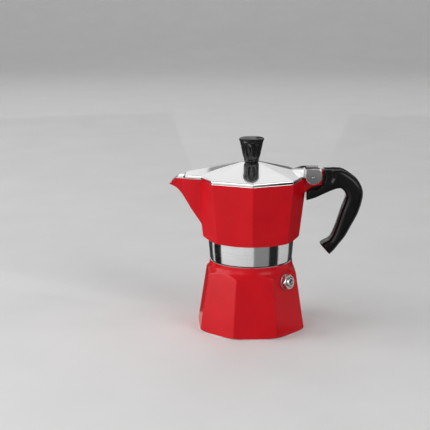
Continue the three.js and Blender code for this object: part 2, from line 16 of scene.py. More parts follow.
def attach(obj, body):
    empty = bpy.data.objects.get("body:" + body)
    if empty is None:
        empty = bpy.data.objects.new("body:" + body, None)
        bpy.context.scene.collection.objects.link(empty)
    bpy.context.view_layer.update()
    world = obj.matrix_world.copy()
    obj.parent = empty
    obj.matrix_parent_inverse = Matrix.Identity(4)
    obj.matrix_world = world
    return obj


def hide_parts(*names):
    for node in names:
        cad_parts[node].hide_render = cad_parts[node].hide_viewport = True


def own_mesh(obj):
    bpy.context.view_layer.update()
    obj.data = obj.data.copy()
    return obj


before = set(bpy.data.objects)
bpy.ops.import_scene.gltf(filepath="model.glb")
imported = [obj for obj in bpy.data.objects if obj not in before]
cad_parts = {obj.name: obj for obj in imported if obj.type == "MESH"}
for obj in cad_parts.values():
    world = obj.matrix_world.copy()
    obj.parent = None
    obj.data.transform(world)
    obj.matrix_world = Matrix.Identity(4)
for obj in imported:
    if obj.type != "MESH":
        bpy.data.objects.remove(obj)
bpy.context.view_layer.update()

MM = 0.001
EIGHTH = math.pi / 4
SHARP = math.radians(32)

# ---- driving dimensions, as in the CAD
BOILER_CORNER = 47.0
BOILER_TAPER = 0.16
BOILER_TURN = math.radians(25.7)
BOILER_WALL = 3.4
BOILER_FLOOR = 3.6
SHOULDER_TOP = 58.6
NECK_RADIUS = 30.2
NECK_BORE = 27.6
BOILER_RIM = 71.0

THREAD_LEAD = 3.0
THREAD_TURNS = 2.0
THREAD_START = 62.0
THREAD_RIDGE = 0.7
THREAD_FADE = 0.08
MALE_THREAD_RADIUS = 30.2
FEMALE_THREAD_RADIUS = 32.3

VALVE_HEADING = math.radians(48.2)
VALVE_HEIGHT = 44.2
VALVE_HOLE = 4.9

VESSEL_FOOT = 76.9
VESSEL_FOOT_CORNER = 40.1
VESSEL_RIM = 127.1
VESSEL_RIM_CORNER = 46.04
VESSEL_WALL = 3.2
FLOOR_UNDERSIDE = 76.6
FLOOR_TOP = 79.6
COLUMN_HOLE = 5.6

SPOUT_ROOT_X = -41.3
SPOUT_TIP_X = -67.4
SPOUT_ROOT_HALF = 11.6
SPOUT_TIP_HALF = 1.3
SPOUT_PAINT_TOP = 126.7

LID_FOOT = 127.4
LID_RIM_TOP = 129.6
LID_CORNER = 46.3
LID_APEX = 139.9
LID_APEX_CORNER = 6.6
LID_SKIN = 1.4
BEAK_RIDGE_END = (-52.6, 131.8)
BEAK_RIDGE_HALF = 7.1
BEAK_END_X = -54.5
BEAK_END_HALF = 6.3

PIN_X = 50.2
PIN_Z = 127.6
PIN_RADIUS = 1.2
PIN_HOLE = 1.5
LUG_RADIUS = 4.9
LUG_HALF = 4.9
EAR_INNER = 5.3
EAR_OUTER = 8.9
EAR_TOP = 134.8
HANDLE_LEAN = math.radians(8.2)
HANDLE_HALF = 8.75
EAR_POCKET = 10.0
HANDLE_SCREW_X = 62.5
SCREW_HOLE = 1.8
SCREW_HEAD_HOLE = 3.6


# ---- small mathematics
def soft_min(a, b, blend):
    """The smaller of two values, rounded where they cross."""
    overlap = np.maximum(blend - np.abs(a - b), 0) / blend
    return np.minimum(a, b) - overlap ** 2 * blend / 4


def soft_max(a, b, blend):
    return -soft_min(-a, -b, blend)


def smooth_step(value):
    value = np.clip(value, 0, 1)
    return value * value * (3 - 2 * value)


def polygon_radius(angles, corner, turn=0.0, sides=8, blend=0.5):
    """Distance from the axis to a regular polygon with rounded corners, at each angle."""
    step = 2 * math.pi / sides
    apothem = corner * math.cos(step / 2)
    local = np.mod(angles - turn, step) - step / 2
    here, before, after = (apothem / np.maximum(np.cos(local + i * step), 0.2) for i in (0, 1, -1))
    return soft_min(soft_min(here, before, blend), after, blend)


def octagon(angles, corner, blend=0.7):
    return polygon_radius(angles, corner, 0, blend=blend)


def polygon_angles(turn=0.0, sides=8, between=26, corner=7, reach=math.radians(1.6)):
    """Angles that lie close together at a polygon's corners."""
    step = 2 * math.pi / sides
    near = np.linspace(-reach, reach, 2 * corner + 1)
    far = np.linspace(reach, step - reach, between)[1:-1]
    one = np.concatenate([near, far])
    return np.concatenate([turn + i * step + one for i in range(sides)])


def along(line, place):
    """The second value at this place on a line of pairs, whose first values rise."""
    return np.interp(place, *zip(*line))


def box(left, low, right, high):
    """A rectangle's corners, anticlockwise."""
    return [(left, low), (right, low), (right, high), (left, high)]


def arc(centre, radius, start, end, steps):
    angles = np.radians(np.linspace(start, end, steps))
    return [(centre[0] + radius * math.cos(a), centre[1] + radius * math.sin(a)) for a in angles]


def rounded(profile, radius, steps=4, closed=False):
    """A polyline whose corners are rounded. The radius may be given for each corner."""
    count = len(profile)
    radii = [radius] * count if np.isscalar(radius) else list(radius)
    points = [np.array(p, float) for p in profile]
    result = []
    for i, point in enumerate(points):
        before, after = points[i - 1] - point, points[(i + 1) % count] - point
        long_before, long_after = np.linalg.norm(before), np.linalg.norm(after)
        turn = math.pi - math.acos(np.clip(before @ after / (long_before * long_after), -1, 1))
        reach = min(radii[i] * math.tan(turn / 2), 0.45 * long_before, 0.45 * long_after)
        if reach < 1e-4 or (i in (0, count - 1) and not closed):
            result.append(point)
            continue
        start = point + before / long_before * reach
        end = point + after / long_after * reach
        for t in np.linspace(0, 1, steps + 1):
            result.append((1 - t) ** 2 * start + 2 * t * (1 - t) * point + t * t * end)
    return result


def spline(knots):
    """A smooth curve through points, as a list of ten points to each span."""
    points = [np.array(k, float) for k in knots]
    ends = [2 * points[0] - points[1]] + points + [2 * points[-1] - points[-2]]
    result = []
    for i in range(1, len(ends) - 2):
        a, b, c, d = ends[i - 1:i + 3]
        for t in np.linspace(0, 1, 10, endpoint=False):
            result.append(0.5 * (2 * b + (c - a) * t + (2 * a - 5 * b + 4 * c - d) * t * t
                                 + (3 * b - a - 3 * c + d) * t ** 3))
    return result + [points[-1]]


def even(outline, spacing):
    """The same closed outline with points about evenly spaced along it."""
    line = np.array(list(outline) + [outline[0]], float)
    lengths = np.concatenate([[0], np.cumsum(np.linalg.norm(np.diff(line, axis=0), axis=1))])
    places = np.linspace(0, lengths[-1], int(round(lengths[-1] / spacing)) + 1)[:-1]
    return np.stack([np.interp(places, lengths, line[:, i]) for i in (0, 1)], axis=1)


# ---- making meshes
def linked(name, data):
    obj = bpy.data.objects.new(name, data)
    bpy.context.scene.collection.objects.link(obj)
    return obj


def new_mesh(name, points, faces, finish=0):
    """A mesh with one finish, or with a list of one for each face."""
    mesh = bpy.data.meshes.new(name)
    mesh.from_pydata([tuple(float(c) * MM for c in p) for p in points], [], faces)
    finishes = [finish] * len(faces) if isinstance(finish, int) else finish
    mesh.polygons.foreach_set("material_index", finishes)
    tidy = bmesh.new()
    tidy.from_mesh(mesh)
    bmesh.ops.remove_doubles(tidy, verts=tidy.verts, dist=1e-7)
    bmesh.ops.recalc_face_normals(tidy, faces=tidy.faces)
    tidy.to_mesh(mesh)
    tidy.free()
    return linked(name, mesh)


def band(lower, upper):
    """Faces between two rings of point numbers. A ring of one point is the middle of a flat end."""
    count = max(len(lower), len(upper))
    faces = []
    for j in range(count):
        k = (j + 1) % count
        if len(lower) == 1:
            faces.append((lower[0], upper[k], upper[j]))
        elif len(upper) == 1:
            faces.append((lower[j], lower[k], upper[0]))
        else:
            faces.append((lower[j], lower[k], upper[k], upper[j]))
    return faces


def shell(name, rows, angles):
    """A surface through rings about the axis. Each row is (radius, height, finish of the band after it).
    The last row joins the first, unless that one lies on the axis."""
    points, rings = [], []
    for radius, height, _ in rows:
        around = angles[:1] if np.isscalar(radius) and radius < 1e-6 else angles
        first = len(points)
        radii = np.broadcast_to(radius, around.shape)
        heights = np.broadcast_to(height, around.shape)
        points.extend(zip(radii * np.cos(around), radii * np.sin(around), heights))
        rings.append(range(first, len(points)))
    above = rings[1:] + (rings[:1] if len(rings[0]) > 1 else [])
    faces, finishes = [], []
    for (_, _, finish), lower, upper in zip(rows, rings, above):
        between = band(lower, upper)
        faces += between
        finishes += [finish] * len(between)
    return new_mesh(name, points, faces, finishes)


def rows_of(finish, profile):
    """Rows for a shell, all with one finish."""
    return [(radius, height, finish) for radius, height in profile]


def turned(name, profile, rounding, sides, steps, index):
    """A piece turned on a lathe. Its profile of (radius, height) is a loop unless it starts on the axis."""
    angles = np.linspace(0, 2 * math.pi, sides, endpoint=False)
    line = rounded(profile, rounding, steps, closed=profile[0][0] > 0)
    return shell(name, rows_of(index, line), angles)


def loft(name, rings, index=0):
    """A solid through rings of points, with flat ends."""
    count = len(rings[0])
    numbers = [range(i * count, (i + 1) * count) for i in range(len(rings))]
    faces = [face for pair in zip(numbers, numbers[1:]) for face in band(*pair)]
    faces += [tuple(numbers[0])[::-1], tuple(numbers[-1])]
    return new_mesh(name, [p for ring in rings for p in ring], faces, index)


def extruded(name, outline, low, high, edge=0.0, index=0):
    """An outline in X and Z, extruded along Y, with rounded edges."""
    near, far = range(len(outline)), range(len(outline), 2 * len(outline))
    points = [(x, y, z) for y in (low, high) for x, z in outline]
    obj = new_mesh(name, points, [tuple(near), tuple(far)[::-1]] + band(near, far), index)
    return softened(obj, edge) if edge > 0 else obj


def softened(obj, width):
    bevel = obj.modifiers.new("soft edges", "BEVEL")
    bevel.width = width * MM
    bevel.segments = 3
    bevel.limit_method = "ANGLE"
    bevel.angle_limit = math.radians(40)
    bevel.miter_outer = "MITER_ARC"
    return baked(obj)


def baked(obj):
    """Applies the modifiers."""
    bpy.context.view_layer.update()
    graph = bpy.context.evaluated_depsgraph_get()
    mesh = bpy.data.meshes.new_from_object(obj.evaluated_get(graph))
    obj.modifiers.clear()
    obj.data = mesh
    return obj


def combined(obj, other, operation):
    """Joins another solid to this one, or cuts it away. Both list the same materials."""
    step = obj.modifiers.new("with " + other.name, "BOOLEAN")
    step.operation = operation
    step.solver = "EXACT"
    step.object = other
    baked(obj)
    bpy.data.objects.remove(other)
    return obj


def merged(name, objs):
    """Several meshes as one object, without joining their surfaces."""
    whole = bmesh.new()
    for obj in objs:
        obj.data.transform(obj.matrix_world)
        whole.from_mesh(obj.data)
    mesh = bpy.data.meshes.new(name)
    whole.to_mesh(mesh)
    whole.free()
    for slot_material in objs[0].data.materials:
        mesh.materials.append(slot_material)
    for obj in objs:
        bpy.data.objects.remove(obj)
    return linked(name, mesh)


def moved(obj, at, along_y=False):
    """Moves a piece that stands on the axis, and lays it along Y first if asked."""
    if along_y:
        obj.data.transform(Matrix.Rotation(math.pi / 2, 4, "X"))
    obj.data.transform(Matrix.Translation(Vector(at) * MM))
    return obj


def drill(radius, low, high, at=(0, 0, 0), along_y=False, sides=64, index=0):
    """A plain cylinder to cut with."""
    obj = turned("drill", box(0, low, radius, high), 0, sides, 1, index)
    return moved(obj, at, along_y)


def helix(name, radius, foot, lead, turns, wire, index, fade=0.0, sides=8, per_turn=72):
    """A round wire wound about the axis. Each end tapers over this share of its length, if fade is given."""
    count = int(turns * per_turn)
    upward = np.array([0, 0, 1])
    rings = []
    for i in range(count + 1):
        share = i / count
        angle = 2 * math.pi * turns * share
        size = wire * (min(1, 0.05 + min(share, 1 - share) / fade) if fade else 1)
        outward = np.array([math.cos(angle), math.sin(angle), 0])
        centre = outward * radius + upward * (foot + lead * turns * share)
        around = 2 * math.pi * np.arange(sides) / sides
        rings.append([centre + size * (math.cos(a) * outward + math.sin(a) * upward) for a in around])
    return loft(name, rings, index)


def thread(radius):
    """A thread's rounded ridge, which fades in and out at its ends."""
    ridge = helix("thread", radius, THREAD_START, THREAD_LEAD, THREAD_TURNS, THREAD_RIDGE, TURN, THREAD_FADE)
    return with_all(ridge)


def inset(outline, distance):
    """A closed outline moved inwards. The outline runs anticlockwise."""
    ahead = np.roll(outline, -1, axis=0) - outline
    ahead /= np.linalg.norm(ahead, axis=1)[:, None]
    normals = np.stack([-ahead[:, 1], ahead[:, 0]], axis=1)
    both = normals + np.roll(normals, 1, axis=0)
    both /= np.linalg.norm(both, axis=1)[:, None]
    return outline + both * distance


def distance_to(points, outline):
    """How far each point is from a closed outline."""
    best = np.full(len(points), 1e9)
    for a, b in zip(outline, np.roll(outline, -1, axis=0)):
        along = b - a
        t = np.clip(((points - a) @ along) / (along @ along), 0, 1)
        best = np.minimum(best, np.linalg.norm(points - a - t[:, None] * along, axis=1))
    return best


def inside(points, outline):
    crossings = np.zeros(len(points), int)
    for (ax, ay), (bx, by) in zip(outline, np.roll(outline, -1, axis=0)):
        straddles = (ay > points[:, 1]) != (by > points[:, 1])
        rise = by - ay if abs(by - ay) > 1e-12 else 1e-12
        crossings += straddles & (points[:, 0] < (bx - ax) * (points[:, 1] - ay) / rise + ax)
    return crossings % 2 == 1


def slab_faces(triangles, total):
    """The triangles on one side, their copies on the other, and the walls between."""
    faces = [tuple(t) for t in triangles] + [tuple(total + i for i in reversed(t)) for t in triangles]
    uses = {}
    for a, b, c in triangles:
        for pair in ((a, b), (b, c), (c, a)):
            uses.setdefault(frozenset(pair), []).append(pair)
    borders = [found[0] for found in uses.values() if len(found) == 1]
    return faces + [(b, a, total + a, total + b) for a, b in borders]


def triangulated(points, edges):
    """Triangles between points, which keep to the edges. Returns the points and the triangles."""
    flat, _, triangles, _, _, _ = delaunay_2d_cdt([Vector(p) for p in points], edges, [], 1, 1e-6)
    return np.array([tuple(p) for p in flat]), triangles


def plate_rings(outline, edge):
    """Lines of points that follow an outline over its rounded edge. Where they would cross, they stop."""
    shares = [0, 0.03, 0.1, 0.21, 0.36, 0.54, 0.76, 1.0]
    rounding = edge(outline)
    count = len(outline)
    rings = [inset(outline, (rounding * share)[:, None]) for share in shares]
    kept = [distance_to(ring, outline) > rounding * share - 0.03 for ring, share in zip(rings, shares)]
    kept = np.concatenate(kept)
    kept[:count] = True
    number = np.cumsum(kept) - 1
    starts = range(0, len(kept), count)
    pairs = [(first + j, first + (j + 1) % count) for first in starts for j in range(count)]
    edges = [(int(number[a]), int(number[b])) for a, b in pairs if kept[a] and kept[b]]
    return np.concatenate(rings)[kept], edges


def plate_grid(outline, edge, spacing):
    """Points over the flat part of a plate, in staggered rows."""
    low, high = outline.min(0), outline.max(0)
    xs = np.arange(low[0], high[0], spacing)
    zs = np.arange(low[1], high[1], spacing * 0.87)
    grid = np.array([(x + (row % 2) * spacing / 2, z) for row, z in enumerate(zs) for x in xs])
    grid = grid[inside(grid, outline)]
    return grid[distance_to(grid, outline) > edge(grid) + spacing * 0.5]


def plate(name, outline, half, edge, dent=None, spacing=1.0, index=0):
    """A flat-sided piece across Y, from an outline in X and Z that runs anticlockwise.
    edge(points) gives the rounding of its edges, and dent(points) how far its faces sink in."""
    outline = np.array(outline, float)
    rings, edges = plate_rings(outline, edge)
    points, triangles = triangulated(np.concatenate([rings, plate_grid(outline, edge, spacing)]), edges)
    rounding = edge(points)
    depth = np.minimum(distance_to(points, outline), rounding)
    height = half - rounding + np.sqrt(np.maximum(rounding ** 2 - (rounding - depth) ** 2, 0))
    if dent is not None:
        height = height - dent(points)
    both = [(x, side * h, z) for side in (-1, 1) for (x, z), h in zip(points, height)]
    return new_mesh(name, both, slab_faces(triangles, len(points)), index)


# ---- materials
def wire(tree, node, inputs):
    """Sets each named input of a node to a value, or links it to another node's output."""
    for name, value in inputs.items():
        if isinstance(value, bpy.types.NodeSocket):
            tree.links.new(value, node.inputs[name])
        else:
            node.inputs[name].default_value = value
    return node


def added(tree, kind, **inputs):
    return wire(tree, tree.nodes.new("ShaderNode" + kind), inputs)


def noise(tree, place, scale, detail=3.0, roughness=0.55, stretch=None):
    """Noise over the surface, finer along the axes that are stretched."""
    if stretch is not None:
        place = added(tree, "Mapping", Scale=stretch, Vector=place).outputs["Vector"]
    node = added(tree, "TexNoise", Scale=scale, Detail=detail, Roughness=roughness, Vector=place)
    return node.outputs["Fac"]


def ramp(tree, value, stops):
    """Values or colours along a range, from (position, grey or colour) stops."""
    stops = list(stops)
    node = added(tree, "ValToRGB", Fac=value)
    elements = node.color_ramp.elements
    while len(elements) < len(stops):
        elements.new(0.5)
    for element, (position, colour) in zip(elements, stops):
        element.position = position
        element.color = (colour, colour, colour, 1) if np.isscalar(colour) else (*colour, 1)
    return node.outputs["Color"]


def bump(tree, height, strength, distance, after):
    """Bumps this many millimetres deep, laid over those before them, if there are any."""
    node = added(tree, "Bump", Strength=strength, Distance=distance * MM, Height=height)
    if after is not None:
        tree.links.new(after, node.inputs["Normal"])
    return node.outputs["Normal"]


def material(name, specular=0.5, metallic=0.0):
    """A material with its shader."""
    made = bpy.data.materials.new(name)
    made.use_nodes = True
    tree = made.node_tree
    inputs = {"Metallic": metallic, "Specular IOR Level": specular}
    return made, tree, wire(tree, tree.nodes["Principled BSDF"], inputs)


def surface(name, colours, clouds, roughness, bumps, dulling=None, **kind):
    """A material whose colour and roughness each wander between two values, under layers of bumps.
    A noise is (scale, detail, roughness, stretch). A layer of bumps is (noise, strength, depth in mm).
    The roughness follows the colour's noise, unless dulling gives it one of its own."""
    made, tree, shader = material(name, **kind)
    place = added(tree, "TexCoord").outputs["Object"]
    colour = ramp(tree, noise(tree, place, *clouds), zip((0.3, 0.7), colours))
    dull = ramp(tree, noise(tree, place, *(dulling or clouds)), zip((0.3, 0.7), roughness))
    normal = None
    for pattern, strength, height in bumps:
        normal = bump(tree, noise(tree, place, *pattern), strength, height, normal)
    wire(tree, shader, {"Base Color": colour, "Roughness": dull, "Normal": normal})
    return made


def plated(name, colours, roughness):
    """Bright metal with fine tool marks."""
    marks = (420, 4, 0.6)
    return surface(name, colours, marks, roughness, [(marks, 0.06, 0.02)], metallic=1)


def rubber(name, colours):
    """Moulded rubber, faintly mottled."""
    return surface(name, colours, (300, 4), (0.6, 0.78), [((1400, 3), 0.15, 0.05)], specular=0.3)


# Sprayed enamel: slight clouding, faint orange peel and finer grain.
RED = surface("red_enamel", ((0.46, 0.0035, 0.0085), (0.54, 0.0055, 0.012)), (38, 4), (0.2, 0.25),
              [((900, 2), 0.07, 0.05), ((3200, 2), 0.02, 0.02)], (120, 5, 0.65), specular=0.16)
# Polished on the lathe: fine rings round the axis.
RINGS = (90, 4, 0.6, (0.4, 0.4, 40))
TURNED = surface("turned_aluminium", ((0.80, 0.80, 0.81), 0.90), (60, 3, 0.5, (1, 1, 12)), (0.09, 0.17),
                 [(RINGS, 0.08, 0.02)], RINGS, metallic=1)
# The lid: buffed to a shine, with faint wandering scratches.
SCRATCHES = (160, 5, 0.7, (1, 9, 1))
BUFFED = surface("buffed_aluminium", ((0.84, 0.84, 0.845), 0.92), (30, 4), (0.08, 0.13),
                 [(SCRATCHES, 0.06, 0.02), ((700, 3), 0.05, 0.03)], SCRATCHES, metallic=1)
# As it comes from the die: fine grain and duller patches.
CAST = surface("cast_aluminium", ((0.50, 0.50, 0.505), 0.64), (90, 4), (0.38, 0.52),
               [((1100, 4, 0.7), 0.25, 0.06)], metallic=1)
# The unpolished sides of the lid's ears.
GRAIN = (900, 5, 0.75)
ROUGH = surface("rough_casting", ((0.17, 0.17, 0.175), (0.30, 0.30, 0.305)), GRAIN, (0.5, 0.68),
                [(GRAIN, 0.5, 0.12)], metallic=1)
# Moulded phenolic: glossy, with flow marks and slightly duller patches.
FLOW = (70, 4, 0.6)
BLACK = surface("black_plastic", ((0.003, 0.003, 0.0031), (0.006, 0.006, 0.0061)), FLOW, (0.1, 0.17),
                [(FLOW, 0.05, 0.1), ((1500, 3), 0.08, 0.03)], specular=0.22)
# The valve, the pin and the screws, the gasket, and the valve's seal.
NICKEL = plated("nickel_plate", ((0.66, 0.655, 0.64), (0.78, 0.775, 0.76)), (0.10, 0.2))
STEEL = plated("bright_steel", ((0.52, 0.525, 0.53), (0.66, 0.665, 0.67)), (0.16, 0.3))
WHITE_RUBBER = rubber("gasket_rubber", ((0.66, 0.64, 0.58), (0.76, 0.74, 0.68)))
DARK_RUBBER = rubber("seal_rubber", ((0.012, 0.012, 0.013), (0.025, 0.025, 0.026)))
# The studio's floor.
PAPER = surface("paper", (0.80, 0.83), (14, 3), (0.6, 0.7), [((900, 2), 0.05, 0.05)], specular=0.2)

# The same list goes on every operand, so a face keeps its finish when solids are joined.
ALL = [RED, TURNED, CAST, BUFFED, ROUGH, BLACK, NICKEL, STEEL, WHITE_RUBBER]
PAINT, TURN, RAW, BUFF, GRIT, PLASTIC, PLATE, BOLT, SEAL = range(len(ALL))


def place_piece(obj, body, node):
    """Gives a piece only the materials that it shows, and its place in the assembly."""
    with_all(obj)
    obj.data.name = obj.name
    shown = [p.material_index for p in obj.data.polygons]
    used = sorted(set(shown))
    obj.data.materials.clear()
    for index in used:
        obj.data.materials.append(ALL[index])
    obj.data.polygons.foreach_set("material_index", [used.index(i) for i in shown])
    obj.data.shade_smooth()
    obj.data.set_sharp_from_angle(angle=SHARP)
    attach(obj, body)
    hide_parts(node)


def with_all(obj):
    """Puts the whole list of materials on an object that has none, for joining and cutting."""
    if not obj.data.materials:
        keep = [p.material_index for p in obj.data.polygons]
        for entry in ALL:
            obj.data.materials.append(entry)
        obj.data.polygons.foreach_set("material_index", keep)
    return obj


def join(obj, other):
    return combined(with_all(obj), with_all(other), "UNION")


def cut(obj, other):
    return combined(with_all(obj), with_all(other), "DIFFERENCE")


# ---- boiler
BOILER_ENVELOPE = [
    (0, 43.3), (2.35, 47.3), (2.36, 48.5), (40.7, 48.5), (48.8, 39.2), (51.6, 36), (52.9, 35.1),
    (54.8, 34.6), (57, 34.4), (SHOULDER_TOP, 34.4),
]
FOOT_BARE = 0.9


def boiler_corner(height):
    return BOILER_CORNER - BOILER_TAPER * height


def boiler_radius(height, angles, cones):
    flats = polygon_radius(angles, boiler_corner(height), BOILER_TURN, blend=0.7)
    return soft_min(flats, along(cones, height), 0.9)


def boiler_outside(angles):
    """The painted outside, from the turned foot up to the shoulder's bare top."""
    cones = rounded(BOILER_ENVELOPE, [0, 0, 0, 0, 3, 5, 4, 4, 3, 0], 5)
    foot = list(np.linspace(0.5, 2.34, 8)) + [FOOT_BARE]
    flats = [2.5, 3.0, 6, 12, 18, 24, 30, 35]
    shoulder = list(np.linspace(37, 56, 62)) + [57, 57.8]
    heights = sorted(foot + flats + shoulder)
    rows = rows_of(TURN, [(0, 0), (20, 0), (38, 0), (42.6, 0), (43.1, 0.06)])
    rows += [(boiler_radius(z, angles, cones), z, TURN if z < FOOT_BARE else PAINT) for z in heights]
    return rows + rows_of(TURN, [(34.35, 58.2), (34.05, 58.5), (33.6, SHOULDER_TOP)])


def boiler_inside(angles):
    """The neck, and the chamber down to its rounded floor."""
    neck = [(30.6, SHOULDER_TOP), (NECK_RADIUS, 59), (NECK_RADIUS, 70.2), (29.9, 70.8), (29.4, BOILER_RIM),
            (28.3, BOILER_RIM), (27.8, 70.8)]
    walls = [(boiler_corner(z) - BOILER_WALL, z) for z in (45.5, 30, 15, 7)]
    corner = boiler_corner(BOILER_FLOOR) - BOILER_WALL
    walls += [(corner - less, BOILER_FLOOR + rise) for less, rise in ((0.3, 2), (1.2, 0.6), (3, 0))]
    chamber = [(NECK_BORE, 70.3), (NECK_BORE, 54.6)]
    chamber += [(polygon_radius(angles, reach, BOILER_TURN, blend=3), z) for reach, z in walls]
    return rows_of(TURN, neck) + rows_of(RAW, chamber + [(15, BOILER_FLOOR), (0, BOILER_FLOOR)])


def boiler_piece():
    angles = polygon_angles(BOILER_TURN)
    body = shell("boiler_casting", boiler_outside(angles) + boiler_inside(angles), angles)
    hole = drill(VALVE_HOLE, -10, 10, index=RAW)
    hole.data.transform(valve_matrix())
    whole = merged("boiler_casting", [cut(body, hole), thread(MALE_THREAD_RADIUS)])
    place_piece(whole, "base", "boiler")


# ---- safety valve
def valve_matrix():
    """The valve's own frame: origin on the boiler's flat, +Z straight out of it."""
    side = np.array([math.sin(VALVE_HEADING), -math.cos(VALVE_HEADING), 0])
    outward = Vector((side[0], side[1], BOILER_TAPER * math.cos(EIGHTH / 2))).normalized()
    across = Vector((math.cos(VALVE_HEADING), math.sin(VALVE_HEADING), 0))
    up = outward.cross(across)
    apothem = boiler_corner(VALVE_HEIGHT) * math.cos(EIGHTH / 2)
    seat = Vector((side[0] * apothem, side[1] * apothem, VALVE_HEIGHT)) * MM
    turn = Matrix((across, up, outward)).transposed().to_4x4()
    return Matrix.Translation(seat) @ turn


def valve_head():
    """The hexagon, chamfered above and below, with a ringed face round a hollow boss."""
    angles = polygon_angles(0, 6, 14, 4, math.radians(3))
    hexagon = polygon_radius(angles, 6.6, 0, 6, 0.35)
    line = [(1.6, -5.5), (4.6, -5.5), (4.6, 1.2), (5.9, 1.2)]
    for z in (1.22, 1.5, 1.9, 2.8, 3.7, 4.05, 4.25, 4.38):
        chamfer = min(5.95 + (z - 1.2) * 1.3, 5.9 + (4.4 - z) * 1.3)
        line.append((soft_min(hexagon, chamfer, 0.15), z))
    face = [(5.75, 4.4), (5.6, 4.45), (5.6, 4.9), (4.8, 4.9), (4.65, 3.8)]
    boss = [(3.8, 3.8), (3.5, 6.3), (2.6, 6.3)]
    bore = [(2.6, -3.9), (1.6, -3.9)]
    line += rounded(face + boss + bore, 0.16, 3)
    return shell("valve_head", rows_of(PLATE, line), angles)


def valve_pieces():
    head = valve_head()
    collar = [(0, -2.3), (2.2, -2.3), (2.2, -1.7), (0.9, -1.7)]
    stem = turned("valve_pin", collar + [(0.9, 7.2), (0, 7.2)], 0.22, 40, 4, PLATE)
    washer = turned("valve_seat_washer", box(5, 0.3, 6.4, 0.9), 0.15, 64, 3, RAW)
    for obj, body, slot, node in ((head, "base", "nickel", "valve_body"),
                                  (stem, "valve_plunger", "nickel", "valve_stem"),
                                  (washer, "base", "cast_aluminium", "valve_washer")):
        obj.data.transform(valve_matrix())
        place_piece(obj, body, node)


def spring_piece():
    """From the stem's collar to the ring that holds it."""
    radius, wire, turns = 1.6, 0.25, 5
    foot, top = -1.4, 3.7
    lead = (top - foot) / turns
    spring = helix("valve_coil", radius, foot, lead, turns, wire, BOLT, sides=10, per_turn=36)
    place = valve_matrix()
    spring.data.transform(place)
    place_piece(spring, "base", "valve_spring")
    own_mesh(spring)


# ---- spout
SPOUT_KEEL = np.array([
    (-41.3, 87.4), (-44.1, 91.8), (-49, 99), (-53.5, 106.6), (-57.6, 113.4), (-61.3, 117.4),
    (-65.4, 120.2), (-67.4, 121),
])
SPOUT_RIM = [
    (-36, 127.1), (-54.6, 127.1), (-55.3, 128.3), (-57.2, 128.5), (-60.5, 127.7), (-63.5, 125.9),
    (-65.6, 123.9), (-67.4, 121.8),
]


def rim_height(x):
    return float(along(spline(SPOUT_RIM)[::-1], x))


def keel_height(x):
    """A smooth sweep along the keel's points, which runs straight on into the vessel."""
    middle, steepness = -55, -1.65
    curve = np.polyfit(SPOUT_KEEL[:, 0] - middle, SPOUT_KEEL[:, 1], 5)
    reached = min(x, SPOUT_ROOT_X)
    return float(np.polyval(curve, reached - middle)) + steepness * (x - reached)


def spout_half(x):
    share = (x - SPOUT_TIP_X) / (SPOUT_ROOT_X - SPOUT_TIP_X)
    return SPOUT_TIP_HALF + (SPOUT_ROOT_HALF - SPOUT_TIP_HALF) * share


def rounded_v(spread, top, keel, radius):
    """A V with a rounded foot, whose lowest point is at the keel's height. Its number of points is fixed."""
    corner = keel
    for _ in range(3):
        curve = np.array(rounded([(-spread, top), (0, corner), (spread, top)], radius, 12))
        corner -= curve[:, 1].min() - keel
    side = curve[0] + np.linspace(0, 1, 8)[:-1, None] * (curve[1] - curve[0])
    return np.concatenate([side, curve[1:-1], side[::-1] * (-1, 1)])


def spout_section(x, less, raised=0.0, keel_round=2.4):
    """One section of the spout, this much smaller all round, with its open top this much higher."""
    half = spout_half(x) - less
    rim = rim_height(x)
    keel = keel_height(x) + less
    top = rim + raised
    spread = half * (top - keel) / (rim - keel)
    return [(x, y, z) for y, z in rounded_v(spread, top, keel, keel_round)]


def spout_outside():
    xs = np.concatenate([np.linspace(-39.5, -53.5, 18), np.linspace(-54.2, SPOUT_TIP_X, 30)])
    rings = [spout_section(x, 0, keel_round=min(2.4, spout_half(x))) for x in xs]
    solid = loft("spout", rings, PAINT)
    cutter = bmesh.new()
    cutter.from_mesh(solid.data)
    bmesh.ops.bisect_plane(cutter, geom=cutter.verts[:] + cutter.edges[:] + cutter.faces[:],
                           plane_co=(0, 0, SPOUT_PAINT_TOP * MM), plane_no=(0, 0, 1))
    for face in cutter.faces:
        if face.calc_center_median().z > SPOUT_PAINT_TOP * MM:
            face.material_index = TURN
    cutter.to_mesh(solid.data)
    cutter.free()
    return solid


def spout_channel():
    xs = np.concatenate([np.linspace(-34.5, -53.5, 18), np.linspace(-54.2, SPOUT_TIP_X - 0.01, 24)])
    rings = []
    for x in xs:
        share = np.clip((x - SPOUT_TIP_X) / (SPOUT_ROOT_X - SPOUT_TIP_X), 0, 1)
        rings.append(spout_section(x, 0.55 + 1.65 * share, 20, keel_round=1.6))
    last = [(SPOUT_TIP_X - 3, y, z) for _, y, z in rings[-1]]
    return loft("channel", rings + [last], TURN)


# ---- upper vessel
def vessel_corner(height):
    share = (height - VESSEL_FOOT) / (VESSEL_RIM - VESSEL_FOOT)
    return VESSEL_FOOT_CORNER + (VESSEL_RIM_CORNER - VESSEL_FOOT_CORNER) * share


